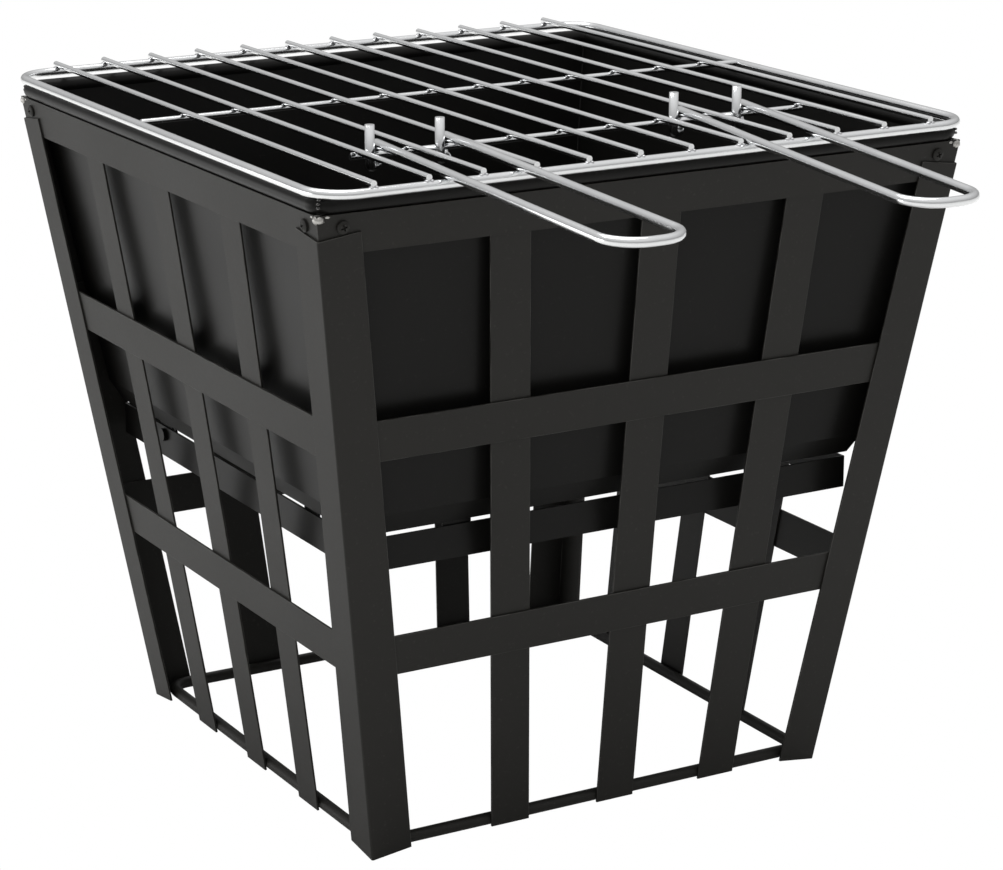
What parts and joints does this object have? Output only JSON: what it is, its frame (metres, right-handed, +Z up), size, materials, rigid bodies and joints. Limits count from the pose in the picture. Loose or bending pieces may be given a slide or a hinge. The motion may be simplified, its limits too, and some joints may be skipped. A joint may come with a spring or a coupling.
{
  "type": "fire pit",
  "caption": "Square tapered fire basket of flat straps and slats, with a lift-out bowl with rolled rim and a chrome wire grate with fold-up handles.",
  "frame": {"origin": "on the ground, under the middle of the whole object's bounding box, handles included; the middle of the basket is 101.1 mm behind it", "axes": "+Z up, out of the bowl; -Y to the front, the way the grate handles point; +X to the right seen from the front"},
  "size_m": [0.467, 0.6882, 0.4688],
  "materials": {
    "basket_paint": "satin heat-resistant paint",
    "bowl_paint": "satin black heat-resistant paint",
    "chrome_wire": "bright chrome-plated wire",
    "zinc_nut": "zinc-plated"
  },
  "bodies": {
    "basket": {"leg_front_left": "basket_paint", "leg_front_right": "basket_paint", "leg_back_right": "basket_paint", "leg_back_left": "basket_paint", "top_strap_front": "basket_paint", "top_strap_right": "basket_paint", "top_strap_back": "basket_paint", "top_strap_left": "basket_paint", "mid_strap_front": "basket_paint", "mid_strap_right": "basket_paint", "mid_strap_back": "basket_paint", "mid_strap_left": "basket_paint", "low_strap_front": "basket_paint", "low_strap_right": "basket_paint", "low_strap_back": "basket_paint", "low_strap_left": "basket_paint", "slats_front": "basket_paint", "slats_right": "basket_paint", "slats_back": "basket_paint", "slats_left": "basket_paint", "bottom_rod": "basket_paint", "corner_angles": "basket_paint", "corner_screws": "basket_paint", "corner_nuts": "zinc_nut"},
    "bowl": {"bowl_shell": "bowl_paint", "bowl_rim": "bowl_paint", "base_ring": "bowl_paint", "ring_tabs": "bowl_paint", "ring_bolts": "bowl_paint", "ring_nuts": "zinc_nut"},
    "grate": {"grate_frame": "chrome_wire", "grate_bars": "chrome_wire", "cross_wire_front": "chrome_wire", "cross_wire_rear": "chrome_wire"},
    "handle_left": {"handle_left": "chrome_wire"},
    "handle_right": {"handle_right": "chrome_wire"}
  },
  "joints": [
    {"name": "bowl_lift", "type": "slide", "parent": "basket", "child": "bowl", "axis": [0, 0, 1], "range_m": [0, 0.26]},
    {"name": "grate_lift", "type": "slide", "parent": "bowl", "child": "grate", "axis": [0, 0, 1], "range_m": [0, 0.1]},
    {"name": "handle_left_fold", "type": "hinge", "parent": "grate", "child": "handle_left", "pos_m": [-0.1224, -0.04387, 0.4488], "axis": [-1, 0, 0], "range_deg": [0, 90]},
    {"name": "handle_right_fold", "type": "hinge", "parent": "grate", "child": "handle_right", "pos_m": [0.0954, -0.04387, 0.4488], "axis": [-1, 0, 0], "range_deg": [0, 90]}
  ]
}
